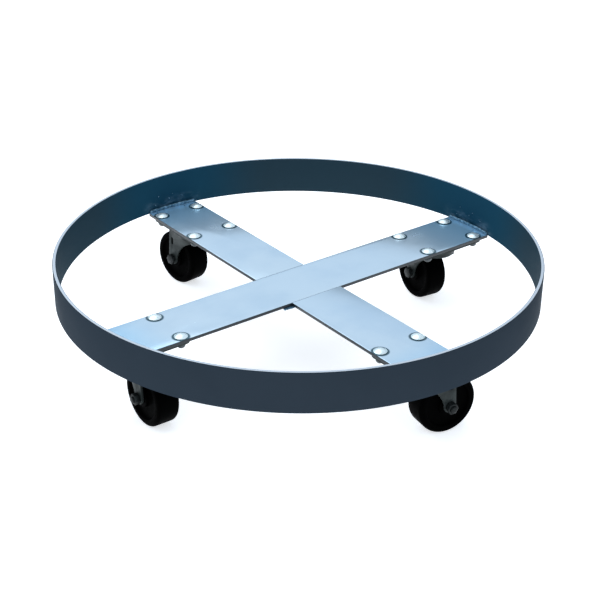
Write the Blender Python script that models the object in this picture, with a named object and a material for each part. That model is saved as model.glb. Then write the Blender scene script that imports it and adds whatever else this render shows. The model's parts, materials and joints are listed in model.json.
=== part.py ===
"""Four-wheel dolly for a 200 litre (55 US gallon) steel drum.

A flat steel hoop stands round a flat steel cross. The cross is one long bar with two short bars
butt-welded to its sides, and its four ends are welded to the inside of the hoop. A swivel plate
caster with a solid 3 in wheel is riveted under each arm.

Metres, +Z up. The origin is on the floor, under the middle of the hoop. The long bar lies along X
and the short bars along Y. Each caster is named after the arm that it carries: east is +X and
north is +Y.
"""

import math

import bmesh
import bpy
from mathutils import Matrix, Vector

# Room left between pieces that touch on the real dolly.
GAP = 0.0003

# Hoop: 2 x 3/16 in flat bar rolled on edge to 24 in overall.
HOOP_RADIUS = 0.3048
HOOP_HEIGHT = 0.0508
HOOP_THICKNESS = 0.00476
HOOP_TOP_ROUND = 0.0017
HOOP_FOOT_CHAMFER = 0.0006
HOOP_STEPS = 96

# Cross: 3 x 3/16 in flat bar, let into the hoop's lower edge.
BAR_WIDTH = 0.0762
BAR_THICKNESS = 0.00476
BAR_LET_IN = 0.0018
BAR_END_STEPS = 6

# Welds.
HOOP_WELD_LEG = 0.0042
HOOP_WELD_STEPS = 10
CENTRE_WELD_RUN_OUT = 0.014
CENTRE_WELD_WIDTH = 0.0092
CENTRE_WELD_DEPTH = 0.0026

# Caster stations: distance of the swivel axis from the middle, and the load height.
CASTER_RADIUS = 0.2366
CASTER_HEIGHT = 0.0953

# Top plate, with the upper raceway pressed down out of its middle.
PLATE_LENGTH = 0.104
PLATE_WIDTH = 0.073
PLATE_THICKNESS = 0.0028
PLATE_CORNER = 0.007
BOWL_RIM_RADIUS = 0.036
BOWL_TOP_RADIUS = 0.033
BOWL_FLOOR_RADIUS = 0.0165
BOWL_DEPTH = 0.007

# Rivets, four to a plate.
RIVET_SPACING_ALONG = 0.0826
RIVET_SPACING_ACROSS = 0.0582
RIVET_SHANK_RADIUS = 0.004
RIVET_HEAD_RADIUS = 0.0083
RIVET_HEAD_HEIGHT = 0.0036
RIVET_TAIL_RADIUS = 0.0053
RIVET_TAIL_HEIGHT = 0.007
RIVET_STEPS = 12

# Fork: a crown with a cup for the balls, and two legs that trail back to the axle.
TRAIL = 0.029
CROWN_FOOT = 0.0784
CROWN_THICKNESS = 0.003
CROWN_RADIUS = 0.0245
CUP_WALL = 0.0026
CUP_TOP = 0.086
LEG_INSIDE = 0.0168
LEG_THICKNESS = 0.0028
LEG_TAIL_RADIUS = 0.008
LEG_LEAD = 0.017
LEG_BACK = 0.0055
SLOT_HEIGHT = 0.066
SLOT_WIDTH = 0.0045
SLOT_LENGTH = 0.011

# Swivel bearing.
BALL_RADIUS = 0.002
BALL_CIRCLE_RADIUS = 0.0194
BALL_CIRCLE_HEIGHT = 0.08375
KINGPIN_RADIUS = 0.0055
KINGPIN_HEAD_RADIUS = 0.009
KINGPIN_HEAD_HEIGHT = 0.0036

# Wheel and axle.
WHEEL_RADIUS = 0.0381
TREAD_WIDTH = 0.030
WHEEL_DISH = 0.0036
HUB_LENGTH = 0.0324
HUB_RADIUS = 0.0125
SLEEVE_RADIUS = 0.006
SLEEVE_LENGTH = 0.033
AXLE_RADIUS = 0.004
HEX_ACROSS_FLATS = 0.0127
AXLE_HEAD_HEIGHT = 0.0053
AXLE_NUT_HEIGHT = 0.0065
AXLE_THREAD_END = 0.0025
ROUND_STEPS = 24
WHEEL_STEPS = 32

# Each arm's direction, and the way its caster's wheel trails at rest, in degrees from +X.
ARMS = {
    "east": (0.0, 83.0),
    "north": (90.0, 97.0),
    "west": (180.0, 269.0),
    "south": (270.0, 350.0),
}

# Levels that follow from the sizes above.
BAR_BOTTOM = CASTER_HEIGHT + GAP
BAR_TOP = BAR_BOTTOM + BAR_THICKNESS
HOOP_BOTTOM = BAR_TOP - BAR_LET_IN
HOOP_TOP = HOOP_BOTTOM + HOOP_HEIGHT
HOOP_INNER_RADIUS = HOOP_RADIUS - HOOP_THICKNESS
PLATE_BOTTOM = CASTER_HEIGHT - PLATE_THICKNESS
CROWN_TOP = CROWN_FOOT + CROWN_THICKNESS
LEG_OUTSIDE = LEG_INSIDE + LEG_THICKNESS
PIN_HOLE_RADIUS = KINGPIN_RADIUS + GAP
RIVET_HOLE_RADIUS = RIVET_SHANK_RADIUS + GAP
AXLE_HOLE_RADIUS = AXLE_RADIUS + GAP

# Quarter turns about X: a piece drawn along Z comes to lie along +Y, and an outline stands upright.
ACROSS = Matrix.Rotation(-math.pi / 2, 4, "X")
UPRIGHT = Matrix.Rotation(math.pi / 2, 4, "X")


def clear_scene():
    """Remove whatever the file opened with."""
    for thing in list(bpy.data.objects):
        bpy.data.objects.remove(thing, do_unlink=True)


def finish_material(name, colour, roughness, metallic):
    """Make one Principled material from a linear colour."""
    material = bpy.data.materials.new(name)
    material.use_nodes = True
    shader = material.node_tree.nodes["Principled BSDF"]
    shader.inputs["Base Color"].default_value = (*colour, 1.0)
    shader.inputs["Roughness"].default_value = roughness
    shader.inputs["Metallic"].default_value = metallic
    return material


def arc(centre, radius, start, end, steps):
    """Points along an arc in a plane, ends included, with the angles in degrees."""
    points = []
    for step in range(steps + 1):
        angle = math.radians(start + (end - start) * step / steps)
        points.append((centre[0] + radius * math.cos(angle), centre[1] + radius * math.sin(angle)))
    return points


def circle(radius, steps):
    """A closed ring of points in a plane."""
    return arc((0.0, 0.0), radius, 0.0, 360.0, steps)[:-1]


def hexagon(across_flats):
    """A hexagon's six corners."""
    return circle(across_flats / math.sqrt(3.0), 6)


def rounded_rectangle(length, width, corner, steps):
    """A rectangle round the origin with its corners rounded."""
    points = []
    for turn, (side_x, side_y) in enumerate(((1, 1), (-1, 1), (-1, -1), (1, -1))):
        centre = (side_x * (length / 2 - corner), side_y * (width / 2 - corner))
        points += arc(centre, corner, 90.0 * turn, 90.0 * turn + 90.0, steps)
    return points


def mesh_from(bm, name):
    """Close a bmesh into a mesh whose faces point out, shaded smooth up to sharp edges."""
    bmesh.ops.recalc_face_normals(bm, faces=bm.faces)
    mesh = bpy.data.meshes.new(name)
    bm.to_mesh(mesh)
    bm.free()
    mesh.shade_smooth()
    mesh.set_sharp_from_angle(angle=math.radians(35.0))
    return mesh


def lofted(name, sections):
    """Skin a row of equal loops of points, and cap both ends."""
    bm = bmesh.new()
    loops = [[bm.verts.new(point) for point in section] for section in sections]
    for near, far in zip(loops, loops[1:]):
        for index in range(len(near)):
            after = (index + 1) % len(near)
            bm.faces.new((near[index], near[after], far[after], far[index]))
    bm.faces.new(loops[0])
    bm.faces.new(loops[-1])
    return mesh_from(bm, name)


def prism(name, outline, low, high, turn=None):
    """Extrude a plane outline along Z from low to high, then turn it if asked."""
    mesh = lofted(name, [[(x, y, height) for x, y in outline] for height in (low, high)])
    if turn is not None:
        mesh.transform(turn)
    return mesh


def turned(name, profile, steps):
    """Turn a profile of (radius, height) points about Z.

    A profile that starts and ends on the axis gives a solid piece, and any other is closed into a
    ring.
    """
    bm = bmesh.new()
    points = [bm.verts.new((radius, 0.0, height)) for radius, height in profile]
    edges = [bm.edges.new(pair) for pair in zip(points, points[1:])]
    if profile[0][0] > 0.0:
        edges.append(bm.edges.new((points[-1], points[0])))
    bmesh.ops.spin(
        bm,
        geom=points + edges,
        cent=(0.0, 0.0, 0.0),
        axis=(0.0, 0.0, 1.0),
        angle=2 * math.pi,
        steps=steps,
        use_merge=True,
    )
    bmesh.ops.remove_doubles(bm, verts=bm.verts, dist=1e-6)
    return mesh_from(bm, name)


def shaped(name, body, changes):
    """Union or cut other solids into a body, in order, and return the finished mesh."""
    base = bpy.data.objects.new(name, body)
    bpy.context.collection.objects.link(base)
    tools = []
    for operation, mesh in changes:
        tool = bpy.data.objects.new(f"{name}_tool", mesh)
        tool.hide_render = True
        tool.display_type = "WIRE"
        bpy.context.collection.objects.link(tool)
        modifier = base.modifiers.new(operation, "BOOLEAN")
        modifier.operation = operation
        modifier.solver = "EXACT"
        modifier.object = tool
        tools.append(tool)
    graph = bpy.context.evaluated_depsgraph_get()
    result = bpy.data.meshes.new_from_object(base.evaluated_get(graph))
    result.name = name
    for thing in [base] + tools:
        bpy.data.objects.remove(thing, do_unlink=True)
    result.shade_smooth()
    result.set_sharp_from_angle(angle=math.radians(35.0))
    return result


def place(name, mesh, material, location=(0.0, 0.0, 0.0), turn=0.0, parent=None):
    """Put a mesh into the scene as one named piece, turned about Z by an angle in degrees."""
    piece = bpy.data.objects.new(name, mesh)
    piece.location = location
    piece.rotation_euler = (0.0, 0.0, math.radians(turn))
    piece.parent = parent
    bpy.context.collection.objects.link(piece)
    if not mesh.materials:
        mesh.materials.append(material)
    return piece


def pivot(name, location, turn, parent=None):
    """An empty on a joint's axis."""
    empty = bpy.data.objects.new(name, None)
    empty.location = location
    empty.rotation_euler = (0.0, 0.0, math.radians(turn))
    empty.parent = parent
    bpy.context.collection.objects.link(empty)
    return empty


def rivet_places():
    """The four rivet axes of one caster, as seen from its swivel axis."""
    along = RIVET_SPACING_ALONG / 2
    across = RIVET_SPACING_ACROSS / 2
    return [(x, y) for x in (-along, along) for y in (-across, across)]


def drill(places, radius, low, high):
    """One round cutter for each place."""
    cutters = []
    for x, y in places:
        cutter = prism("drill", circle(radius, RIVET_STEPS), low, high)
        cutter.transform(Matrix.Translation((x, y, 0.0)))
        cutters.append(("DIFFERENCE", cutter))
    return cutters


def hoop_mesh():
    """The rolled hoop: its top edge is rounded and its foot has a small chamfer."""
    inner = HOOP_INNER_RADIUS
    top_round = HOOP_TOP_ROUND
    foot = HOOP_FOOT_CHAMFER
    profile = [
        (inner, HOOP_BOTTOM + foot),
        (inner + foot, HOOP_BOTTOM),
        (HOOP_RADIUS - foot, HOOP_BOTTOM),
        (HOOP_RADIUS, HOOP_BOTTOM + foot),
    ]
    outer_centre = (HOOP_RADIUS - top_round, HOOP_TOP - top_round)
    inner_centre = (inner + top_round, HOOP_TOP - top_round)
    profile += arc(outer_centre, top_round, 0.0, 90.0, 2)
    profile += arc(inner_centre, top_round, 90.0, 180.0, 2)
    return turned("hoop", profile, HOOP_STEPS)


def bar_end():
    """The hollowed end line of an arm along +X, cut to sit against the inside of the hoop."""
    reach = HOOP_INNER_RADIUS - GAP
    half_angle = math.degrees(math.asin(BAR_WIDTH / 2 / reach))
    return arc((0.0, 0.0), reach, -half_angle, half_angle, BAR_END_STEPS)


def arm_holes(angle):
    """Rivet places on the arm that points at an angle in degrees."""
    turn = Matrix.Rotation(math.radians(angle), 2)
    return [tuple(turn @ Vector((CASTER_RADIUS + x, y))) for x, y in rivet_places()]


def long_bar_mesh():
    """The bar that runs right across, with both ends cut to the hoop."""
    end = bar_end()
    outline = end + [(-x, -y) for x, y in end]
    body = prism("long_bar", outline, BAR_BOTTOM, BAR_TOP)
    holes = arm_holes(0.0) + arm_holes(180.0)
    return shaped("long_bar", body, drill(holes, RIVET_HOLE_RADIUS, BAR_BOTTOM - 0.01, BAR_TOP + 0.01))


def short_bar_mesh():
    """A bar from the long bar's side out to the hoop, drawn along +X."""
    root = BAR_WIDTH / 2 + GAP
    outline = bar_end() + [(root, BAR_WIDTH / 2), (root, -BAR_WIDTH / 2)]
    body = prism("short_bar", outline, BAR_BOTTOM, BAR_TOP)
    cuts = drill(arm_holes(0.0), RIVET_HOLE_RADIUS, BAR_BOTTOM - 0.01, BAR_TOP + 0.01)
    return shaped("short_bar", body, cuts)


def hoop_weld_mesh():
    """The fillet weld along an arm's end, in the corner between its top and the hoop."""
    wall = HOOP_INNER_RADIUS - GAP
    floor = BAR_TOP + GAP
    leg = HOOP_WELD_LEG
    bulge = leg * 0.42
    section = [(wall, floor), (wall, floor + leg), (wall - bulge, floor + bulge * 1.6), (wall - leg, floor)]
    half_angle = math.degrees(math.asin(BAR_WIDTH / 2 / wall)) - 0.3
    sections = []
    for step in range(HOOP_WELD_STEPS + 1):
        angle = math.radians(half_angle * (2 * step / HOOP_WELD_STEPS - 1))
        sections.append([(r * math.cos(angle), r * math.sin(angle), z) for r, z in section])
    return lofted("hoop_weld", sections)


def centre_weld_mesh():
    """The bead under the joint between a short bar and the long bar, drawn along X.

    It starts clear of the corner, on the long bar's edge, and tapers to both ends.
    """
    start = -BAR_WIDTH / 2 - CENTRE_WELD_RUN_OUT
    end = BAR_WIDTH / 2
    tapers = [(0.0, 0.45), (0.04, 0.85), (0.10, 1.0), (0.93, 1.0), (0.98, 0.8), (1.0, 0.4)]
    top = BAR_BOTTOM - GAP
    sections = []
    for share, swell in tapers:
        x = start + (end - start) * share
        belly = arc((0.0, 0.0), 1.0, 180.0, 360.0, 6)
        half_width = CENTRE_WELD_WIDTH / 2 * swell
        sections.append([(x, u * half_width, top + v * CENTRE_WELD_DEPTH * swell) for u, v in belly])
    return lofted("centre_weld", sections)


def rivet_mesh():
    """A round-head rivet: domed head on the bar, shank, and tail upset under the plate."""
    seat = BAR_TOP + GAP
    clinch = PLATE_BOTTOM - GAP
    head = [(RIVET_HEAD_RADIUS * s, seat + RIVET_HEAD_HEIGHT * h) for s, h in
            ((0.0, 1.0), (0.45, 0.92), (0.8, 0.62), (1.0, 0.14), (0.97, 0.0))]
    tail = [(RIVET_TAIL_RADIUS * s, clinch - RIVET_TAIL_HEIGHT * h) for s, h in
            ((0.96, 0.0), (1.0, 0.3), (0.75, 0.8), (0.0, 1.0))]
    profile = head + [(RIVET_SHANK_RADIUS, seat), (RIVET_SHANK_RADIUS, clinch)] + tail
    return turned("rivet", profile, RIVET_STEPS)


def top_plate_mesh():
    """The caster's top plate, with its bowl-shaped raceway and four rivet holes."""
    outline = rounded_rectangle(PLATE_LENGTH, PLATE_WIDTH, PLATE_CORNER, 3)
    body = prism("top_plate", outline, PLATE_BOTTOM, CASTER_HEIGHT)
    opening = prism("opening", circle(BOWL_RIM_RADIUS - 0.001, ROUND_STEPS), 0.0, HOOP_TOP)
    inset = 0.00005
    rim_top = CASTER_HEIGHT - inset
    rim_bottom = PLATE_BOTTOM + inset
    floor_top = CASTER_HEIGHT - BOWL_DEPTH
    floor_bottom = floor_top - PLATE_THICKNESS
    bowl = turned("bowl", [
        (PIN_HOLE_RADIUS, floor_top),
        (PIN_HOLE_RADIUS, floor_bottom),
        (BOWL_FLOOR_RADIUS + 0.001, floor_bottom),
        (BOWL_RIM_RADIUS - 0.0008, rim_bottom),
        (BOWL_RIM_RADIUS, rim_bottom),
        (BOWL_RIM_RADIUS, rim_top),
        (BOWL_TOP_RADIUS, rim_top),
        (BOWL_FLOOR_RADIUS, floor_top),
    ], ROUND_STEPS)
    holes = drill(rivet_places(), RIVET_HOLE_RADIUS, 0.0, HOOP_TOP)
    return shaped("top_plate", body, [("DIFFERENCE", opening), ("UNION", bowl)] + holes)


def leg_outline():
    """One fork leg seen from the side: X is how far it trails and Y is its height."""
    back = (TRAIL + LEG_BACK, CROWN_TOP)
    lead = (-LEG_LEAD, CROWN_TOP)
    heel = (-LEG_LEAD + 0.001, CROWN_FOOT - 0.003)
    foot = (TRAIL - LEG_TAIL_RADIUS, WHEEL_RADIUS + 0.003)
    pull = (TRAIL * 0.45, CROWN_FOOT - 0.012)
    sweep = []
    for step in range(7):
        t = step / 6
        sweep.append(tuple(
            (1 - t) ** 2 * heel[i] + 2 * t * (1 - t) * pull[i] + t ** 2 * foot[i] for i in (0, 1)
        ))
    tail = arc((TRAIL, WHEEL_RADIUS), LEG_TAIL_RADIUS, 180.0, 360.0, 8)
    return [back, lead] + sweep + tail


def fork_mesh():
    """The fork: legs and crown bent from one plate, with the cup that holds the balls."""
    body = prism("fork", leg_outline(), -LEG_OUTSIDE, LEG_OUTSIDE, UPRIGHT)
    box = [(-0.1, -LEG_INSIDE), (0.1, -LEG_INSIDE), (0.1, LEG_INSIDE), (-0.1, LEG_INSIDE)]
    between = prism("between", box, 0.0, CROWN_FOOT)
    overlap = 0.0001
    crown = turned("crown", [
        (0.0, CROWN_FOOT - overlap),
        (CROWN_RADIUS, CROWN_FOOT - overlap),
        (CROWN_RADIUS, CUP_TOP),
        (CROWN_RADIUS - CUP_WALL, CUP_TOP),
        (CROWN_RADIUS - CUP_WALL, CROWN_TOP + overlap),
        (0.0, CROWN_TOP + overlap),
    ], ROUND_STEPS)
    pin_hole = prism("pin_hole", circle(PIN_HOLE_RADIUS, ROUND_STEPS), 0.0, HOOP_TOP)
    axle_hole = prism("axle_hole", circle(AXLE_HOLE_RADIUS, RIVET_STEPS), -0.1, 0.1, ACROSS)
    axle_hole.transform(Matrix.Translation((TRAIL, 0.0, WHEEL_RADIUS)))
    slot_outline = rounded_rectangle(SLOT_WIDTH, SLOT_LENGTH, SLOT_WIDTH / 2 - 1e-5, 3)
    slot = prism("slot", slot_outline, -0.1, 0.1, ACROSS)
    slot.transform(Matrix.Translation((TRAIL, 0.0, SLOT_HEIGHT)))
    return shaped("fork", body, [
        ("DIFFERENCE", between),
        ("UNION", crown),
        ("DIFFERENCE", pin_hole),
        ("DIFFERENCE", axle_hole),
        ("DIFFERENCE", slot),
    ])


def ball_ring_mesh():
    """The ring of balls between the plate's bowl and the fork's cup."""
    section = arc((BALL_CIRCLE_RADIUS, BALL_CIRCLE_HEIGHT), BALL_RADIUS, 0.0, 360.0, 8)[:-1]
    return turned("ball_ring", section, ROUND_STEPS)


def kingpin_mesh():
    """The kingpin, headed over the bowl's floor and under the crown."""
    upper = CASTER_HEIGHT - BOWL_DEPTH + GAP
    lower = CROWN_FOOT - 0.0001 - GAP
    radius = KINGPIN_HEAD_RADIUS
    height = KINGPIN_HEAD_HEIGHT
    profile = [
        (0.0, upper + height),
        (radius * 0.7, upper + height * 0.85),
        (radius, upper + height * 0.35),
        (radius, upper),
        (KINGPIN_RADIUS, upper),
        (KINGPIN_RADIUS, lower),
        (radius, lower),
        (radius, lower - height * 0.35),
        (radius * 0.7, lower - height * 0.85),
        (0.0, lower - height),
    ]
    return turned("kingpin", profile, ROUND_STEPS)


def wheel_mesh():
    """The solid moulded wheel, turned about Y through its own centre."""
    half_tread = TREAD_WIDTH / 2
    side = [
        (SLEEVE_RADIUS + GAP, HUB_LENGTH / 2),
        (HUB_RADIUS, HUB_LENGTH / 2),
        (HUB_RADIUS + 0.001, half_tread - WHEEL_DISH),
        (WHEEL_RADIUS - 0.0115, half_tread - WHEEL_DISH),
        (WHEEL_RADIUS - 0.0090, half_tread - 0.0004),
        (WHEEL_RADIUS - 0.003, half_tread),
        (WHEEL_RADIUS, half_tread - 0.0035),
    ]
    profile = side + [(radius, -height) for radius, height in reversed(side)]
    mesh = turned("wheel", profile, WHEEL_STEPS)
    mesh.transform(ACROSS)
    return mesh


def sleeve_mesh():
    """The plain sleeve that the wheel turns on, clamped between the legs."""
    half = SLEEVE_LENGTH / 2
    profile = [
        (AXLE_HOLE_RADIUS, -half),
        (SLEEVE_RADIUS, -half),
        (SLEEVE_RADIUS, half),
        (AXLE_HOLE_RADIUS, half),
    ]
    mesh = turned("sleeve", profile, RIVET_STEPS)
    mesh.transform(ACROSS)
    return mesh


def axle_bolt_mesh():
    """The hexagon bolt through the fork, its head on the +Y side."""
    seat = LEG_OUTSIDE + GAP
    shank_end = -(seat + AXLE_NUT_HEIGHT + AXLE_THREAD_END)
    head = prism("axle_bolt", hexagon(HEX_ACROSS_FLATS), seat, seat + AXLE_HEAD_HEIGHT, ACROSS)
    shank_top = seat + AXLE_HEAD_HEIGHT / 2
    shank = prism("shank", circle(AXLE_RADIUS, RIVET_STEPS), shank_end, shank_top, ACROSS)
    return shaped("axle_bolt", head, [("UNION", shank)])


def axle_nut_mesh():
    """The lock nut on the -Y side."""
    seat = LEG_OUTSIDE + GAP
    body = prism("axle_nut", hexagon(HEX_ACROSS_FLATS), -seat - AXLE_NUT_HEIGHT, -seat, ACROSS)
    bore = prism("bore", circle(AXLE_HOLE_RADIUS, RIVET_STEPS), -0.1, 0.1, ACROSS)
    return shaped("axle_nut", body, [("DIFFERENCE", bore)])


def build_frame(painted, plated, weld_metal):
    """The hoop, the cross and their welds."""
    place("hoop", hoop_mesh(), painted)
    place("long_bar", long_bar_mesh(), plated)
    short_bar = short_bar_mesh()
    hoop_weld = hoop_weld_mesh()
    centre_weld = centre_weld_mesh()
    for arm, (angle, _) in ARMS.items():
        place(f"hoop_weld_{arm}", hoop_weld, weld_metal, turn=angle)
    for arm in ("north", "south"):
        angle = ARMS[arm][0]
        side = 1.0 if arm == "north" else -1.0
        place(f"short_bar_{arm}", short_bar, plated, turn=angle)
        place(f"centre_weld_{arm}", centre_weld, weld_metal, location=(0.0, side * BAR_WIDTH / 2, 0.0))


def build_casters(zinc, bright_zinc, steel, moulded):
    """The four casters and the rivets that hold them."""
    top_plate = top_plate_mesh()
    rivet = rivet_mesh()
    kingpin = kingpin_mesh()
    fork = fork_mesh()
    ball_ring = ball_ring_mesh()
    wheel = wheel_mesh()
    sleeve = sleeve_mesh()
    axle_bolt = axle_bolt_mesh()
    axle_nut = axle_nut_mesh()
    for arm, (angle, trail_angle) in ARMS.items():
        heading = math.radians(angle)
        station = (CASTER_RADIUS * math.cos(heading), CASTER_RADIUS * math.sin(heading), 0.0)
        place(f"{arm}_top_plate", top_plate, zinc, location=station, turn=angle)
        place(f"{arm}_kingpin", kingpin, steel, location=station)
        for number, (x, y) in enumerate(arm_holes(angle), start=1):
            place(f"{arm}_rivet_{number}", rivet, bright_zinc, location=(x, y, 0.0))
        swivel = pivot(f"{arm}_swivel_axis", station, trail_angle)
        axle = pivot(f"{arm}_wheel_axis", (TRAIL, 0.0, WHEEL_RADIUS), 0.0, parent=swivel)
        place(f"{arm}_fork", fork, zinc, parent=swivel)
        place(f"{arm}_ball_ring", ball_ring, steel, parent=swivel)
        place(f"{arm}_sleeve", sleeve, steel, parent=axle)
        place(f"{arm}_axle_bolt", axle_bolt, bright_zinc, parent=axle)
        place(f"{arm}_axle_nut", axle_nut, bright_zinc, parent=axle)
        place(f"{arm}_wheel", wheel, moulded, parent=axle)


clear_scene()
slate_paint = finish_material("slate_paint", (0.045, 0.068, 0.095), 0.35, 0.6)
ice_paint = finish_material("ice_silver", (0.42, 0.53, 0.64), 0.3, 0.85)
weld_grey = finish_material("weld_metal", (0.40, 0.50, 0.58), 0.6, 0.7)
fork_zinc = finish_material("fork_zinc", (0.17, 0.19, 0.20), 0.45, 0.8)
rivet_zinc = finish_material("rivet_zinc", (0.78, 0.88, 0.90), 0.2, 0.9)
bearing_steel = finish_material("bearing_steel", (0.35, 0.36, 0.37), 0.3, 1.0)
black_moulding = finish_material("black_moulding", (0.008, 0.008, 0.009), 0.5, 0.0)
build_frame(slate_paint, ice_paint, weld_grey)
build_casters(fork_zinc, rivet_zinc, bearing_steel, black_moulding)
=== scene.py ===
"""Looks of a four-wheel dolly for a 200 litre drum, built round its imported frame.

Metres, +Z up, with the floor at zero. The long cross bar lies along X.
"""

import json
import math
import random

import bpy
from mathutils import Matrix, Vector


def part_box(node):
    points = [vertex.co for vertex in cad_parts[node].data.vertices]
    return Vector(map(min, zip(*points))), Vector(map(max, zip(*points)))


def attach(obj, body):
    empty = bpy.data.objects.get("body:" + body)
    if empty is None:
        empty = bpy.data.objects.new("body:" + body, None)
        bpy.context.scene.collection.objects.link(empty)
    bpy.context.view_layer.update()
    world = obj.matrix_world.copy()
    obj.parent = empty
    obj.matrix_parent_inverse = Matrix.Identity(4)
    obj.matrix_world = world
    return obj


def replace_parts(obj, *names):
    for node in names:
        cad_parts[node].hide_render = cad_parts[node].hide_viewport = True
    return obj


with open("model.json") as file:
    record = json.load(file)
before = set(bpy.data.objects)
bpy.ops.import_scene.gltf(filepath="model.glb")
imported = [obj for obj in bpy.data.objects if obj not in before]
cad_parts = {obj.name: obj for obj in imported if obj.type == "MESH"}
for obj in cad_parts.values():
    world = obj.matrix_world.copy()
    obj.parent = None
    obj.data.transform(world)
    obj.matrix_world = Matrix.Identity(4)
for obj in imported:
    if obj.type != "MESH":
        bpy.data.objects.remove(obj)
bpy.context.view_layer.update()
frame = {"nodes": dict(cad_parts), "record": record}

# ---------------------------------------------------------------------------------------------
# Camera. It stands on the side between the west and south arms, a little above the dolly, and
# looks down through a short telephoto lens.
# ---------------------------------------------------------------------------------------------

EYE_HEADING = math.radians(-37.45)
EYE_DISTANCE = 1.5234
EYE_ABOVE_HOOP = 0.7275
LOOK_DOWN = 0.4804
LOOK_ASIDE = -0.0025
EYE_ROLL = 0.0077
LENS = 82.15

hoop_low, hoop_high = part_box("hoop")
look = Vector((
    math.sin(LOOK_ASIDE) * math.cos(LOOK_DOWN),
    math.cos(LOOK_ASIDE) * math.cos(LOOK_DOWN),
    -math.sin(LOOK_DOWN),
))
level_right = look.cross(Vector((0.0, 0.0, 1.0))).normalized()
level_up = level_right.cross(look)
right = math.cos(EYE_ROLL) * level_right + math.sin(EYE_ROLL) * level_up
up = math.cos(EYE_ROLL) * level_up - math.sin(EYE_ROLL) * level_right
eye = Matrix((right, up, -look)).transposed().to_4x4()
eye.translation = Vector((0.0, -EYE_DISTANCE, hoop_high.z + EYE_ABOVE_HOOP))

camera_data = bpy.data.cameras.new("camera")
camera_data.lens = LENS
camera_data.sensor_width = 36.0
camera_data.clip_end = 60.0
camera = bpy.data.objects.new("camera", camera_data)
bpy.context.collection.objects.link(camera)
camera.matrix_world = Matrix.Rotation(EYE_HEADING, 4, "Z") @ eye
bpy.context.scene.camera = camera

# ---------------------------------------------------------------------------------------------
# Studio. A white floor that glows a little, as a light table does, a pale blue sky all round that
# is darker near the horizon, and one wide soft light overhead.
# ---------------------------------------------------------------------------------------------

FLOOR_SIZE = 60.0
FLOOR_WHITE = (0.86, 0.87, 0.88, 1.0)
FLOOR_GLOW = 0.75
SKY_HIGH = (0.82, 0.90, 1.0, 1.0)
SKY_LOW = (0.62, 0.80, 1.0, 1.0)
SKY_STRENGTH = 0.85
HORIZON_STRENGTH = 0.35
BACKDROP_WHITE = (1.0, 1.0, 1.0, 1.0)


def feed(tree, socket, value):
    """Set an input to a number or a colour, or link another node's output to it."""
    if isinstance(value, bpy.types.NodeSocket):
        tree.links.new(value, socket)
    else:
        socket.default_value = value


def sum_up(tree, operation, *values):
    """One Math node."""
    node = tree.nodes.new("ShaderNodeMath")
    node.operation = operation
    for socket, value in zip(node.inputs, values):
        feed(tree, socket, value)
    return node.outputs[0]


def times(tree, first, second):
    """Multiply two values."""
    return sum_up(tree, "MULTIPLY", first, second)


def length_of(tree, first, second):
    """The length of the line whose two legs are given."""
    squares = sum_up(tree, "ADD", times(tree, first, first), times(tree, second, second))
    return sum_up(tree, "SQRT", squares)


def between(tree, value, low, high, start=0.0, end=1.0):
    """Carry a value smoothly from start to end while it goes from low to high."""
    node = tree.nodes.new("ShaderNodeMapRange")
    node.interpolation_type = "SMOOTHSTEP"
    for socket, number in zip(node.inputs, (value, low, high, start, end)):
        feed(tree, socket, number)
    return node.outputs[0]


def blended(tree, factor, first, second, way="MIX"):
    """Mix two colours."""
    node = tree.nodes.new("ShaderNodeMix")
    node.data_type = "RGBA"
    node.blend_type = way
    feed(tree, node.inputs["Factor"], factor)
    feed(tree, node.inputs["A"], first)
    feed(tree, node.inputs["B"], second)
    return node.outputs["Result"]


def split(tree, vector):
    """The X, Y and Z of a vector."""
    node = tree.nodes.new("ShaderNodeSeparateXYZ")
    feed(tree, node.inputs[0], vector)
    return node.outputs


world = bpy.data.worlds.new("studio")
world.use_nodes = True
bpy.context.scene.world = world
sky = world.node_tree
sky_heights = split(sky, sky.nodes.new("ShaderNodeTexCoord").outputs["Generated"])
sky_colour = blended(sky, between(sky, sky_heights["Z"], 0.0, 0.7), SKY_LOW, SKY_HIGH)
seen_sky = sky.nodes.new("ShaderNodeLightPath").outputs["Is Camera Ray"]
background = sky.nodes["Background"]
feed(sky, background.inputs["Color"], blended(sky, seen_sky, sky_colour, BACKDROP_WHITE))
sky_strength = between(sky, sky_heights["Z"], -0.05, 0.35, HORIZON_STRENGTH, SKY_STRENGTH)
feed(sky, background.inputs["Strength"], sum_up(sky, "MAXIMUM", seen_sky, sky_strength))

bpy.ops.mesh.primitive_plane_add(size=FLOOR_SIZE)
floor = bpy.context.object
floor.name = "floor"
floor_finish = bpy.data.materials.new("floor_white")
floor_finish.use_nodes = True
floor_shader = floor_finish.node_tree.nodes["Principled BSDF"]
floor_shader.inputs["Base Color"].default_value = FLOOR_WHITE
floor_shader.inputs["Roughness"].default_value = 0.9
floor_shader.inputs["Specular IOR Level"].default_value = 0.0
floor_shader.inputs["Emission Color"].default_value = FLOOR_WHITE
floor_shader.inputs["Emission Strength"].default_value = FLOOR_GLOW
floor.data.materials.append(floor_finish)

OVERHEAD_SIZE = 4.2
OVERHEAD_WATTS = 42.0
OVERHEAD_PLACE = (-0.7, 0.9, 2.5)

overhead_data = bpy.data.lights.new("overhead", "AREA")
overhead_data.shape = "DISK"
overhead_data.size = OVERHEAD_SIZE
overhead_data.energy = OVERHEAD_WATTS
overhead_data.color = (0.93, 0.97, 1.0)
overhead = bpy.data.objects.new("overhead", overhead_data)
overhead.location = OVERHEAD_PLACE
bpy.context.collection.objects.link(overhead)
overhead.rotation_euler = (-Vector(overhead.location)).to_track_quat("-Z", "Y").to_euler()

bpy.context.scene.view_settings.view_transform = "Standard"

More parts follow.
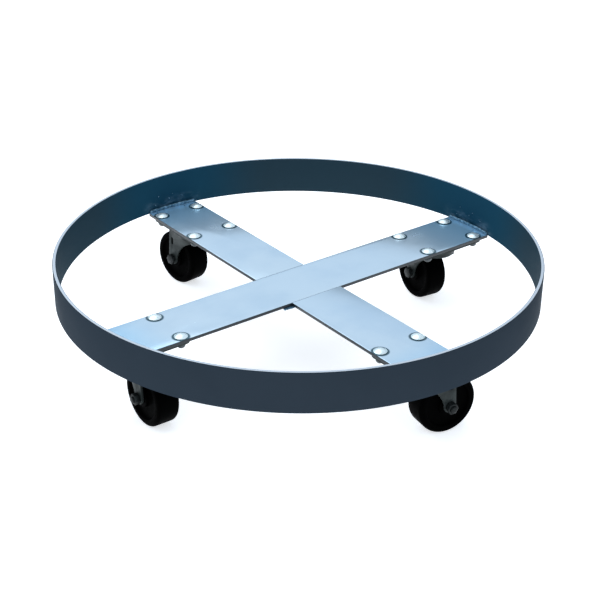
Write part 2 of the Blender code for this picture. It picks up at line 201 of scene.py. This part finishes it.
# ---------------------------------------------------------------------------------------------
# Hoop. 2 x 3/16 in flat steel bar, rolled on edge, butt-welded into a ring, ground flush and
# coated blue-grey. Its top edge is painted paler as a painted highlight, and its inside teal as painted
# bounce light.
# ---------------------------------------------------------------------------------------------

HOOP_ROUND = 0.0012
HOOP_FOOT = 0.0006
HOOP_STEPS = 288
HOOP_WALL = 0.00476
SLATE = (0.023, 0.033, 0.044, 1.0)
SLATE_LIGHT = (0.032, 0.044, 0.058, 1.0)
INSIDE_BOUNCE_TINT = (0.021, 0.045, 0.062, 1.0)
ARM_BOUNCE_TEAL = (0.010, 0.055, 0.092, 1.0)
RIM_SKY_HIGHLIGHT = (0.58, 0.64, 0.70, 1.0)
WELD_SMOKE = (0.24, 0.36, 0.46, 1.0)


def clear_choice():
    """Deselect every object."""
    for thing in bpy.context.selected_objects:
        thing.select_set(False)


def start_edit(piece, kind="EDGE"):
    """Go into edit mode on one piece with nothing selected."""
    clear_choice()
    piece.select_set(True)
    bpy.context.view_layer.objects.active = piece
    bpy.ops.object.mode_set(mode="EDIT")
    bpy.ops.mesh.select_mode(type=kind)
    bpy.ops.mesh.select_all(action="DESELECT")
    bpy.ops.object.mode_set(mode="OBJECT")


def pick(piece, wanted, kind="edges"):
    """Select the edges, faces or vertices of a piece that a test accepts, and enter edit mode."""
    start_edit(piece, {"edges": "EDGE", "faces": "FACE", "vertices": "VERT"}[kind])
    for element in getattr(piece.data, {"faces": "polygons"}.get(kind, kind)):
        element.select = wanted(element)
    bpy.ops.object.mode_set(mode="EDIT")


def leave_edit():
    """Back to object mode."""
    bpy.ops.object.mode_set(mode="OBJECT")


def edge_level(piece, edge):
    """The heights of an edge's two ends."""
    return [piece.data.vertices[index].co.z for index in edge.vertices]


def smooth(piece, degrees=35.0):
    """Shade a piece smooth up to its sharp edges."""
    clear_choice()
    piece.select_set(True)
    bpy.context.view_layer.objects.active = piece
    bpy.ops.object.shade_smooth_by_angle(angle=math.radians(degrees))


def apply_modifier(piece, kind, **settings):
    """Add a modifier with its settings and apply it."""
    modifier = piece.modifiers.new(kind.lower(), kind)
    for name, value in settings.items():
        setattr(modifier, name, value)
    clear_choice()
    piece.select_set(True)
    bpy.context.view_layer.objects.active = piece
    bpy.ops.object.modifier_apply(modifier=modifier.name)


def new_finish(name):
    """A material, its node tree and its shader."""
    finish = bpy.data.materials.new(name)
    finish.use_nodes = True
    return finish, finish.node_tree, finish.node_tree.nodes["Principled BSDF"]


def position(tree):
    """Where a point of the surface is."""
    return tree.nodes.new("ShaderNodeTexCoord").outputs["Object"]


def stretched(tree, vector, scale):
    """Scale a pattern's coordinates."""
    node = tree.nodes.new("ShaderNodeMapping")
    feed(tree, node.inputs["Vector"], vector)
    node.inputs["Scale"].default_value = scale
    return node.outputs[0]


def grain(tree, vector, scale, detail=4.0, roughness=0.55):
    """A noise value."""
    node = tree.nodes.new("ShaderNodeTexNoise")
    feed(tree, node.inputs["Vector"], vector)
    node.inputs["Scale"].default_value = scale
    node.inputs["Detail"].default_value = detail
    node.inputs["Roughness"].default_value = roughness
    return node.outputs["Fac"]


def raised(tree, shader, height, depth):
    """Turn a height value into a bump."""
    node = tree.nodes.new("ShaderNodeBump")
    node.inputs["Strength"].default_value = 1.0
    node.inputs["Distance"].default_value = depth
    feed(tree, node.inputs["Height"], height)
    feed(tree, shader.inputs["Normal"], node.outputs[0])


def facing(tree):
    """The X, Y and Z of the way the surface faces."""
    return split(tree, tree.nodes.new("ShaderNodeNewGeometry").outputs["True Normal"])


def hoop_finish():
    """Blue-grey coat, with painted bounce light tinting the inside teal, a painted highlight on the top
    edge and weld smoke over each arm.
    """
    finish, tree, shader = new_finish("hoop_coat")
    place = position(tree)
    x, y, z = split(tree, place)
    normal = facing(tree)
    radius = length_of(tree, x, y)
    inside = between(tree, radius, cad_radius - HOOP_WALL * 0.7, cad_radius - HOOP_WALL * 0.3, 1.0, 0.0)
    cloud = grain(tree, place, 9.0, 3.0)
    coat = blended(tree, cloud, SLATE, SLATE_LIGHT)

    across = sum_up(tree, "MINIMUM", sum_up(tree, "ABSOLUTE", x), sum_up(tree, "ABSOLUTE", y))
    # Painted bounce light: the inside is tinted teal, most strongly near the arms.
    inside_bounce_light = blended(tree, between(tree, across, 0.045, 0.150, 1.0, 0.0), INSIDE_BOUNCE_TINT, ARM_BOUNCE_TEAL)
    coat = blended(tree, times(tree, inside, 0.95), coat, inside_bounce_light)
    near_arm = between(tree, across, 0.030, 0.052, 1.0, 0.0)
    low_down = between(tree, z, hoop_low.z + 0.004, hoop_low.z + 0.022, 1.0, 0.0)
    smoke = grain(tree, stretched(tree, place, (1.0, 1.0, 2.2)), 45.0, 5.0, 0.6)
    smoke = between(tree, smoke, 0.42, 0.72)
    smoke = times(tree, smoke, times(tree, near_arm, low_down))
    smoke = times(tree, smoke, inside)
    coat = blended(tree, times(tree, smoke, 0.4), coat, WELD_SMOKE)

    # Painted highlight: the level top edge is painted pale, as if it mirrored the sky.
    ripple = grain(tree, place, 55.0, 3.0)
    level_enough = sum_up(tree, "ADD", 0.75, times(tree, ripple, 0.2))
    above = between(tree, z, hoop_high.z - 0.003, hoop_high.z - 0.001)
    rim_highlight = times(tree, above, between(tree, normal["Z"], level_enough, 0.995))
    coat = blended(tree, rim_highlight, coat, RIM_SKY_HIGHLIGHT)
    feed(tree, shader.inputs["Base Color"], coat)

    gloss = grain(tree, place, 26.0, 5.0)
    roughness = sum_up(tree, "ADD", 0.42, times(tree, gloss, 0.16))
    feed(tree, shader.inputs["Roughness"], roughness)
    feed(tree, shader.inputs["Metallic"], times(tree, rim_highlight, 0.4))
    shader.inputs["Specular IOR Level"].default_value = 0.004

    peel = grain(tree, place, 900.0, 2.0)
    raised(tree, shader, peel, 0.00006)
    return finish


cad_radius = hoop_high.x
bpy.ops.mesh.primitive_cylinder_add(
    vertices=HOOP_STEPS,
    radius=cad_radius,
    depth=hoop_high.z - hoop_low.z,
    end_fill_type="NOTHING",
    location=(0.0, 0.0, (hoop_high.z + hoop_low.z) / 2),
)
hoop = bpy.context.object
hoop.name = "rolled_hoop"
bpy.ops.object.transform_apply(location=True, rotation=True, scale=True)
apply_modifier(hoop, "SOLIDIFY", thickness=HOOP_WALL, offset=-1.0)
for level, width, steps in ((hoop_high.z, HOOP_ROUND, 4), (hoop_low.z, HOOP_FOOT, 2)):
    pick(hoop, lambda edge: all(
        abs(height - level) < 1e-5 for height in edge_level(hoop, edge)
    ) and abs(
        hoop.data.vertices[edge.vertices[0]].co.xy.length
        - hoop.data.vertices[edge.vertices[1]].co.xy.length
    ) < 1e-4)
    bpy.ops.mesh.bevel(offset=width, segments=steps, profile=0.5)
    leave_edit()
smooth(hoop)
hoop.data.materials.append(hoop_finish())
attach(hoop, "frame")
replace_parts(hoop, "hoop")

# ---------------------------------------------------------------------------------------------
# Cross bars. 3 x 3/16 in flat bar: one long bar, and two short ones butted against its sides.
# Their tops carry the bright silver-blue coat, and their sides are painted dark as painted shade.
# ---------------------------------------------------------------------------------------------

BAR_ROUND = 0.0007
BAR_SILVER = (0.64, 0.79, 0.90, 1.0)
BAR_SHADE = (0.57, 0.73, 0.86, 1.0)
BAR_SIDE_SHADE = (0.010, 0.016, 0.022, 1.0)
RIVET_RING_SHADE = (0.012, 0.070, 0.100, 1.0)
HOOP_REFLECTION_BLUE = (0.20, 0.64, 1.0, 1.0)
HOOP_REFLECTION_SHARE = 0.5
BAR_GLOSS = 0.15
BAR_HANDLED = 0.25

bar_low, bar_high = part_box("long_bar")
rivet_boxes = [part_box(f"east_rivet_{number}") for number in range(1, 5)]
rivet_alongs = sorted({round((low.x + high.x) / 2, 5) for low, high in rivet_boxes})
rivet_across = max((low.y + high.y) / 2 for low, high in rivet_boxes)
rivet_reach = (rivet_boxes[0][1].x - rivet_boxes[0][0].x) / 2


def bar_finish(name, lengthwise):
    """Silver-blue coat over rolled flat bar, with its grain along the bar, painted shade on its sides
    and round each rivet head, and a painted bluish reflection near its ends.
    """
    finish, tree, shader = new_finish(name)
    place = position(tree)
    x, y, z = split(tree, place)
    far_x = sum_up(tree, "ABSOLUTE", x)
    far_y = sum_up(tree, "ABSOLUTE", y)
    along = sum_up(tree, "MAXIMUM", far_x, far_y)
    across = sum_up(tree, "MINIMUM", far_x, far_y)
    beside = sum_up(tree, "SUBTRACT", across, rivet_across)
    gaps = []
    for rivet_along in rivet_alongs:
        ahead = sum_up(tree, "SUBTRACT", along, rivet_along)
        gaps.append(length_of(tree, ahead, beside))
    gap = sum_up(tree, "MINIMUM", *gaps)
    top = between(tree, facing(tree)["Z"], 0.3, 0.7)

    cloud = grain(tree, place, 14.0, 4.0)
    coat = blended(tree, between(tree, cloud, 0.35, 0.7), BAR_SILVER, BAR_SHADE)
    # Painted reflection: the arm ends are tinted blue as if they mirrored the inside of the hoop.
    hoop_reflection = between(tree, along, 0.19, 0.285)
    coat = blended(tree, times(tree, hoop_reflection, HOOP_REFLECTION_SHARE), coat, HOOP_REFLECTION_BLUE)
    # Painted shade: a dark ring round each rivet head.
    ring = between(tree, gap, rivet_reach + 0.0018, rivet_reach + 0.0038, 1.0, 0.0)
    coat = blended(tree, times(tree, ring, 0.92), coat, RIVET_RING_SHADE)
    # Painted shade: every face but the upward ones takes the dark side colour.
    coat = blended(tree, top, BAR_SIDE_SHADE, coat)
    feed(tree, shader.inputs["Base Color"], coat)

    streak_scale = (3.0, 260.0, 40.0) if lengthwise == "X" else (260.0, 3.0, 40.0)
    streaks = grain(tree, stretched(tree, place, streak_scale), 1.0, 4.0)
    handling = grain(tree, place, 22.0, 5.0, 0.6)
    roughness = between(tree, handling, 0.45, 0.75, BAR_GLOSS, BAR_HANDLED)
    roughness = sum_up(tree, "ADD", roughness, times(tree, streaks, 0.06))
    roughness = sum_up(tree, "ADD", roughness, times(tree, sum_up(tree, "SUBTRACT", 1.0, top), 0.2))
    feed(tree, shader.inputs["Roughness"], roughness)
    feed(tree, shader.inputs["Metallic"], times(tree, top, 0.6))
    raised(tree, shader, streaks, 0.00002)
    return finish


def cross_bar(name, cuts, body_finish):
    """A round blank the size of the hoop's inside, cut down to a bar by straight cuts.

    Each cut is a point and the way that the waste lies.
    """
    bpy.ops.mesh.primitive_cylinder_add(
        vertices=HOOP_STEPS,
        radius=bar_high.x,
        depth=bar_high.z - bar_low.z,
        location=(0.0, 0.0, (bar_high.z + bar_low.z) / 2),
    )
    bar = bpy.context.object
    bar.name = name
    bpy.ops.object.transform_apply(location=True, rotation=True, scale=True)
    for point, waste in cuts:
        pick(bar, lambda face: True, "faces")
        bpy.ops.mesh.bisect(plane_co=point, plane_no=waste, use_fill=True, clear_outer=True)
        leave_edit()
    apply_modifier(
        bar, "BEVEL", width=BAR_ROUND, segments=3, limit_method="ANGLE", angle_limit=math.radians(40)
    )
    smooth(bar)
    bar.data.materials.append(body_finish)
    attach(bar, "frame")
    return bar


half_width = bar_high.y
long_finish = bar_finish("long_bar_coat", "X")
short_finish = bar_finish("short_bar_coat", "Y")
long_cuts = [((0.0, side * half_width, 0.0), (0.0, side, 0.0)) for side in (1.0, -1.0)]
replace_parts(cross_bar("bar_long", long_cuts, long_finish), "long_bar")
for arm, side in (("north", 1.0), ("south", -1.0)):
    short_low, short_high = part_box(f"short_bar_{arm}")
    root = min(abs(short_low.y), abs(short_high.y))
    short_cuts = [((end * short_high.x, 0.0, 0.0), (end, 0.0, 0.0)) for end in (1.0, -1.0)]
    short_cuts.append(((0.0, side * root, 0.0), (0.0, -side, 0.0)))
    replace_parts(cross_bar(f"bar_{arm}", short_cuts, short_finish), f"short_bar_{arm}")

# ---------------------------------------------------------------------------------------------
# Welds. A fillet bead joins each arm to the hoop, and a bead runs under each centre joint and
# past the long bar's edges. They are drawn as overlapping puddles, with spatter beside them.
# ---------------------------------------------------------------------------------------------

PUDDLE_SPACING = 0.0026
PUDDLE_SIZE = 0.0023
CENTRE_PUDDLE_SPACING = 0.0032
CENTRE_PUDDLE_SIZE = 0.0043
SPATTER_DROPS = 9
WELD_DARK = (0.04, 0.12, 0.19, 1.0)
WELD_PALE = (0.26, 0.44, 0.58, 1.0)
WELD_VOXEL = 0.00055
ARM_HEADINGS = {"east": 0.0, "north": 90.0, "west": 180.0, "south": 270.0}
chance = random.Random(24)


def weld_finish():
    """Rough bead under the same pale coat."""
    finish, tree, shader = new_finish("weld_bead")
    place = position(tree)
    scale = grain(tree, place, 240.0, 6.0, 0.7)
    colour = blended(tree, between(tree, scale, 0.35, 0.7), WELD_DARK, WELD_PALE)
    feed(tree, shader.inputs["Base Color"], colour)
    feed(tree, shader.inputs["Roughness"], between(tree, scale, 0.3, 0.7, 0.6, 0.35))
    shader.inputs["Metallic"].default_value = 0.5
    raised(tree, shader, grain(tree, place, 700.0, 4.0), 0.0002)
    return finish


def puddle(location, sizes, turn):
    """One weld puddle: a flattened ball."""
    clear_choice()
    bpy.ops.mesh.primitive_uv_sphere_add(segments=14, ring_count=8, radius=1.0)
    ball = bpy.context.object
    turned = Matrix.Translation(location) @ Matrix.Rotation(turn, 4, "Z")
    ball.data.transform(turned @ Matrix.Diagonal((*sizes, 1.0)))
    return ball


def joined(parts, name):
    """Join several pieces into one."""
    clear_choice()
    for part in parts:
        part.select_set(True)
    bpy.context.view_layer.objects.active = parts[0]
    bpy.ops.object.join()
    parts[0].name = name
    return parts[0]


def copy_of(master, name, placing):
    """A copy with its own mesh, moved into place."""
    piece = master.copy()
    piece.data = master.data.copy()
    piece.name = name
    piece.data.transform(placing)
    bpy.context.collection.objects.link(piece)
    return piece


weld_low, weld_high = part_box("hoop_weld_east")
weld_finish_made = weld_finish()
weld_radius = weld_high.x
weld_half_angle = math.asin(weld_high.y / weld_radius)
balls = []
count = int(2 * weld_half_angle * weld_radius / PUDDLE_SPACING)
for step in range(count + 1):
    angle = weld_half_angle * 0.97 * (2 * step / count - 1)
    size = PUDDLE_SIZE * chance.uniform(0.9, 1.1)
    reach = weld_radius - 0.0018 + chance.uniform(-0.0003, 0.0003)
    point = (reach * math.cos(angle), reach * math.sin(angle), weld_low.z + 0.0012)
    balls.append(puddle(point, (size * 0.78, size * 0.62, size), angle))
hoop_bead = joined(balls, "hoop_bead")
apply_modifier(hoop_bead, "REMESH", mode="VOXEL", voxel_size=WELD_VOXEL)
pick(hoop_bead, lambda face: True, "faces")
bpy.ops.mesh.bisect(
    plane_co=(0.0, 0.0, weld_low.z), plane_no=(0.0, 0.0, -1.0), use_fill=True, clear_outer=True
)
leave_edit()
drops = []
for _ in range(SPATTER_DROPS):
    angle = weld_half_angle * chance.uniform(-0.95, 0.95)
    size = chance.uniform(0.0005, 0.0010)
    if chance.random() < 0.6:
        height = weld_low.z + chance.uniform(0.007, 0.022)
        point = (weld_radius * math.cos(angle), weld_radius * math.sin(angle), height)
    else:
        reach = weld_radius - chance.uniform(0.007, 0.012)
        point = (reach * math.cos(angle), reach * math.sin(angle), weld_low.z)
    drops.append(puddle(point, (size, size, size), 0.0))
hoop_bead = joined([hoop_bead] + drops, "hoop_bead")
smooth(hoop_bead, 60.0)
hoop_bead.data.materials.append(weld_finish_made)
for arm, heading in ARM_HEADINGS.items():
    bead = copy_of(hoop_bead, f"bead_{arm}", Matrix.Rotation(math.radians(heading), 4, "Z"))
    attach(bead, "frame")
    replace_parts(bead, f"hoop_weld_{arm}")
bpy.data.objects.remove(hoop_bead, do_unlink=True)

for arm in ("north", "south"):
    run_low, run_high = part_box(f"centre_weld_{arm}")
    middle = (run_low.y + run_high.y) / 2
    length = run_high.x - run_low.x
    count = int(length / CENTRE_PUDDLE_SPACING)
    balls = []
    for step in range(count + 1):
        end_taper = min(1.0, 0.55 + 0.15 * min(step, count - step))
        size = CENTRE_PUDDLE_SIZE * end_taper * chance.uniform(0.93, 1.05)
        x = run_low.x + 0.003 + (length - 0.006) * step / count
        balls.append(puddle((x, middle, run_high.z), (size * 0.85, size, run_high.z - run_low.z), 0.0))
    bead = joined(balls, f"bead_centre_{arm}")
    apply_modifier(bead, "REMESH", mode="VOXEL", voxel_size=WELD_VOXEL)
    pick(bead, lambda face: True, "faces")
    bpy.ops.mesh.bisect(
        plane_co=(0.0, 0.0, run_high.z), plane_no=(0.0, 0.0, 1.0), use_fill=True, clear_outer=True
    )
    leave_edit()
    smooth(bead, 60.0)
    bead.data.materials.append(weld_finish_made)
    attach(bead, "frame")
    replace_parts(bead, f"centre_weld_{arm}")

# ---------------------------------------------------------------------------------------------
# Rivets. Round-head rivets with a bright zinc coat, four through each arm and the caster plate
# under it, their tails set over underneath.
# ---------------------------------------------------------------------------------------------

RIVET_SHANK = 0.004
RIVET_TAIL = 0.0053
PLATE_THICKNESS = 0.0028
RIVET_SHADE = (0.78, 0.94, 0.97, 1.0)
RIVET_BRIGHT = (0.90, 0.99, 1.0, 1.0)
TAIL_SHADE = (0.07, 0.08, 0.085, 1.0)
cad_plate_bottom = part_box("east_top_plate")[1].z - PLATE_THICKNESS


def bright_zinc():
    """Bright zinc with small dings, with painted shade on the tails under the bar."""
    finish, tree, shader = new_finish("bright_zinc")
    place = position(tree)
    mottle = grain(tree, place, 180.0, 4.0)
    colour = blended(tree, mottle, RIVET_SHADE, RIVET_BRIGHT)
    # Painted shade: everything below the bar's underside, the rivet tails included, is painted dark
    # grey.
    above = between(tree, split(tree, place)["Z"], bar_low.z - 0.001, bar_low.z)
    feed(tree, shader.inputs["Base Color"], blended(tree, above, TAIL_SHADE, colour))
    feed(tree, shader.inputs["Roughness"], between(tree, mottle, 0.3, 0.7, 0.22, 0.38))
    shader.inputs["Metallic"].default_value = 0.6
    raised(tree, shader, grain(tree, place, 420.0, 3.0), 0.00008)
    return finish


def turned_on_lathe(name, profile, steps, axis="Z"):
    """Draw a profile of (radius, height) points from one end to the other, and spin it."""
    clear_choice()
    bpy.ops.mesh.primitive_plane_add(size=0.001)
    piece = bpy.context.object
    piece.name = name
    points = [
        (radius, 0.0, height) if axis == "Z" else (radius, height, 0.0)
        for radius, height in profile
    ]
    bpy.ops.object.mode_set(mode="EDIT")
    bpy.ops.mesh.select_mode(type="VERT")
    bpy.ops.mesh.select_all(action="SELECT")
    bpy.ops.mesh.merge(type="CENTER")
    bpy.ops.transform.translate(value=points[0])
    for start, end in zip(points, points[1:]):
        step = tuple(b - a for a, b in zip(start, end))
        bpy.ops.mesh.extrude_region_move(TRANSFORM_OT_translate={"value": step})
    bpy.ops.mesh.select_all(action="SELECT")
    spin_axis = (0.0, 0.0, 1.0) if axis == "Z" else (0.0, 1.0, 0.0)
    bpy.ops.mesh.spin(steps=steps, angle=2 * math.pi, center=(0.0, 0.0, 0.0), axis=spin_axis)
    bpy.ops.mesh.select_all(action="SELECT")
    bpy.ops.mesh.remove_doubles(threshold=0.00001)
    bpy.ops.mesh.normals_make_consistent(inside=False)
    bpy.ops.object.mode_set(mode="OBJECT")
    smooth(piece, 32.0)
    return piece


def round_corner(centre, radius, start, end, steps=5):
    """Profile points round a corner, with the angles in degrees."""
    points = []
    for step in range(steps + 1):
        angle = math.radians(start + (end - start) * step / steps)
        points.append((centre[0] + radius * math.cos(angle), centre[1] + radius * math.sin(angle)))
    return points


zinc_finish = bright_zinc()
head_low, head_high = rivet_boxes[0]
seat = bar_high.z + 0.0003
clinch = cad_plate_bottom - 0.0003
head_height = head_high.z - seat
head_ball = (rivet_reach ** 2 + head_height ** 2) / (2 * head_height)
head_angle = math.degrees(math.acos((head_ball - head_height) / head_ball))
tail_height = clinch - head_low.z
profile = round_corner((0.0, head_high.z - head_ball), head_ball, 90.0, 90.0 - head_angle * 0.97, 9)
profile += [(rivet_reach, seat + 0.0004), (rivet_reach - 0.0002, seat)]
profile += [(RIVET_SHANK, seat), (RIVET_SHANK, clinch), (RIVET_TAIL - 0.0002, clinch)]
for degrees in (0, 15, 30, 45, 60, 75, 90):
    angle = math.radians(degrees)
    depth = tail_height * (0.3 + 0.7 * math.sin(angle))
    profile.append((RIVET_TAIL * math.cos(angle), clinch - depth))
rivet = turned_on_lathe("rivet", profile, 40)
rivet.data.materials.append(zinc_finish)
for arm in ARM_HEADINGS:
    for number in range(1, 5):
        low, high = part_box(f"{arm}_rivet_{number}")
        centre = Matrix.Translation(((low.x + high.x) / 2, (low.y + high.y) / 2, 0.0))
        set_rivet = copy_of(rivet, f"rivet_{arm}_{number}", centre)
        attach(set_rivet, "frame")
        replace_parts(set_rivet, f"{arm}_rivet_{number}")
bpy.data.objects.remove(rivet, do_unlink=True)

# ---------------------------------------------------------------------------------------------
# Caster pressings. Top plate and fork are pressed from 2.8 mm steel and zinc-plated, which has
# dulled to grey. Their sheared edges are a little rounded.
# ---------------------------------------------------------------------------------------------

PRESSING_ROUND = 0.0005
ZINC_DARK = (0.013, 0.017, 0.016, 1.0)
ZINC_GREY = (0.036, 0.044, 0.042, 1.0)
ZINC_SPANGLE = (0.09, 0.10, 0.10, 1.0)


def dull_zinc():
    """Dulled zinc plate: grey with a faint spangle and darker in patches."""
    finish, tree, shader = new_finish("dull_zinc")
    place = position(tree)
    patches = grain(tree, place, 38.0, 5.0, 0.6)
    spangle = grain(tree, place, 320.0, 2.0)
    colour = blended(tree, between(tree, patches, 0.3, 0.7), ZINC_DARK, ZINC_GREY)
    colour = blended(tree, times(tree, spangle, 0.15), colour, ZINC_SPANGLE)
    feed(tree, shader.inputs["Base Color"], colour)
    feed(tree, shader.inputs["Roughness"], between(tree, patches, 0.3, 0.7, 0.55, 0.38))
    shader.inputs["Metallic"].default_value = 0.25
    shader.inputs["Specular IOR Level"].default_value = 0.15
    raised(tree, shader, spangle, 0.00006)
    return finish


def rounded_copy(node, name, width):
    """A CAD pressing with its sheared edges rounded."""
    piece = frame["nodes"][node].copy()
    piece.data = piece.data.copy()
    piece.name = name
    bpy.context.collection.objects.link(piece)
    pick(piece, lambda vertex: True, "vertices")
    bpy.ops.mesh.remove_doubles(threshold=1e-6)
    bpy.ops.mesh.dissolve_limited(angle_limit=math.radians(1.0))
    leave_edit()
    apply_modifier(
        piece, "BEVEL", width=width, segments=2, limit_method="ANGLE", angle_limit=math.radians(45)
    )
    smooth(piece, 40.0)
    piece.data.materials.clear()
    return piece


pressing_finish = dull_zinc()
for arm in ARM_HEADINGS:
    for node, body in (("top_plate", "frame"), ("fork", f"{arm}_fork_body")):
        pressing = rounded_copy(f"{arm}_{node}", f"pressed_{node}_{arm}", PRESSING_ROUND)
        pressing.data.materials.append(pressing_finish)
        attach(pressing, body)
        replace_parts(pressing, f"{arm}_{node}")

# ---------------------------------------------------------------------------------------------
# Swivel bearing. Hard steel balls between plate and fork, and the kingpin that holds them
# together; they are oily and dark.
# ---------------------------------------------------------------------------------------------

OILY = (0.10, 0.10, 0.10, 1.0)
CLEAN_STEEL = (0.34, 0.34, 0.33, 1.0)


def oiled_steel():
    """Bearing steel with a film of old oil."""
    finish, tree, shader = new_finish("oiled_steel")
    place = position(tree)
    film = grain(tree, place, 120.0, 4.0)
    feed(tree, shader.inputs["Base Color"], blended(tree, film, OILY, CLEAN_STEEL))
    feed(tree, shader.inputs["Roughness"], between(tree, film, 0.3, 0.7, 0.2, 0.45))
    shader.inputs["Metallic"].default_value = 1.0
    return finish


steel_finish = oiled_steel()
for arm in ARM_HEADINGS:
    for node in ("kingpin", "ball_ring", "sleeve"):
        metal = frame["nodes"][f"{arm}_{node}"]
        metal.data.materials.clear()
        metal.data.materials.append(steel_finish)

# ---------------------------------------------------------------------------------------------
# Wheels. Solid black moulded 3 in wheels with rounded tread edges, a dished side and a hub. Each
# turns on the sleeve round its axle bolt, between the two legs of its fork.
# ---------------------------------------------------------------------------------------------

BLACK = (0.0004, 0.0004, 0.0004, 1.0)
SCUFFED = (0.0015, 0.0015, 0.0015, 1.0)


def black_moulding():
    """Hard black moulding, scuffed a little on the tread."""
    finish, tree, shader = new_finish("black_moulding_finish")
    place = position(tree)
    scuff = grain(tree, place, 95.0, 6.0, 0.65)
    colour = blended(tree, between(tree, scuff, 0.5, 0.8), BLACK, SCUFFED)
    feed(tree, shader.inputs["Base Color"], colour)
    feed(tree, shader.inputs["Roughness"], between(tree, scuff, 0.35, 0.75, 0.42, 0.62))
    shader.inputs["Specular IOR Level"].default_value = 0.006
    raised(tree, shader, scuff, 0.00008)
    return finish


def upright(joint_wheel):
    """The place of a wheel: its own Y along the axle and its own X the way it trails."""
    axle = Vector(joint_wheel["axis"]).normalized()
    trail = axle.cross(Vector((0.0, 0.0, 1.0)))
    place = Matrix((trail, axle, Vector((0.0, 0.0, 1.0)))).transposed().to_4x4()
    place.translation = Vector(joint_wheel["pos_m"])
    return place


WHEEL_RADIUS = 0.0381
HALF_TREAD = 0.015
TREAD_ROUND = 0.0045
HUB_RADIUS = 0.0125
HALF_HUB = 0.0162
BORE = 0.0063
DISH = 0.0036
joints = {joint["name"]: joint for joint in frame["record"]["behaviour"]["joints"]}
places = {arm: upright(joints[f"{arm}_wheel_spin"]) for arm in ARM_HEADINGS}
corner = (WHEEL_RADIUS - TREAD_ROUND, HALF_TREAD - TREAD_ROUND)
side = [(BORE, HALF_HUB - 0.0008), (BORE + 0.0008, HALF_HUB), (HUB_RADIUS - 0.001, HALF_HUB)]
side += round_corner((HUB_RADIUS - 0.001, HALF_HUB - 0.001), 0.001, 90.0, 0.0, 3)[1:]
side += round_corner((HUB_RADIUS + 0.002, HALF_TREAD - DISH + 0.002), 0.002, 180.0, 270.0, 3)
side += round_corner((0.0265, HALF_TREAD - DISH + 0.0015), 0.0015, 270.0, 340.0, 3)
side += round_corner((0.0300, HALF_TREAD - 0.0012), 0.0012, 150.0, 90.0, 3)
side += [(0.0325, HALF_TREAD), (0.0328, HALF_TREAD - 0.0003), (0.0331, HALF_TREAD)]
side += round_corner(corner, TREAD_ROUND, 88.0, 0.0, 6)
profile = side + [(radius, -height) for radius, height in reversed(side)]
profile.append(profile[0])
wheel_finish = black_moulding()
wheel = turned_on_lathe("wheel", profile, 96, "Y")
wheel.data.materials.append(wheel_finish)
for arm in ARM_HEADINGS:
    moulded = copy_of(wheel, f"moulded_wheel_{arm}", places[arm])
    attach(moulded, f"{arm}_wheel_body")
    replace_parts(moulded, f"{arm}_wheel")
bpy.data.objects.remove(wheel, do_unlink=True)

# ---------------------------------------------------------------------------------------------
# Axle bolts and nuts. Hexagon bolts of dark steel with chamfered heads, each with a lock nut on
# its threaded end.
# ---------------------------------------------------------------------------------------------

FASTENER_ROUND = 0.0006
BOLT_DARK = (0.008, 0.010, 0.010, 1.0)
BOLT_RUBBED = (0.045, 0.052, 0.052, 1.0)


def dark_steel():
    """Dark phosphate-coated steel, paler where a spanner has worn it."""
    finish, tree, shader = new_finish("dark_steel")
    place = position(tree)
    wear = grain(tree, place, 150.0, 5.0, 0.65)
    colour = blended(tree, between(tree, wear, 0.45, 0.8), BOLT_DARK, BOLT_RUBBED)
    feed(tree, shader.inputs["Base Color"], colour)
    feed(tree, shader.inputs["Roughness"], between(tree, wear, 0.3, 0.7, 0.5, 0.35))
    shader.inputs["Metallic"].default_value = 0.3
    shader.inputs["Specular IOR Level"].default_value = 0.2
    raised(tree, shader, wear, 0.00006)
    return finish


fastener_finish = dark_steel()
for arm in ARM_HEADINGS:
    for node in ("axle_bolt", "axle_nut"):
        fastener = rounded_copy(f"{arm}_{node}", f"turned_{node}_{arm}", FASTENER_ROUND)
        fastener.data.materials.append(fastener_finish)
        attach(fastener, f"{arm}_fork_body")
        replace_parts(fastener, f"{arm}_{node}")
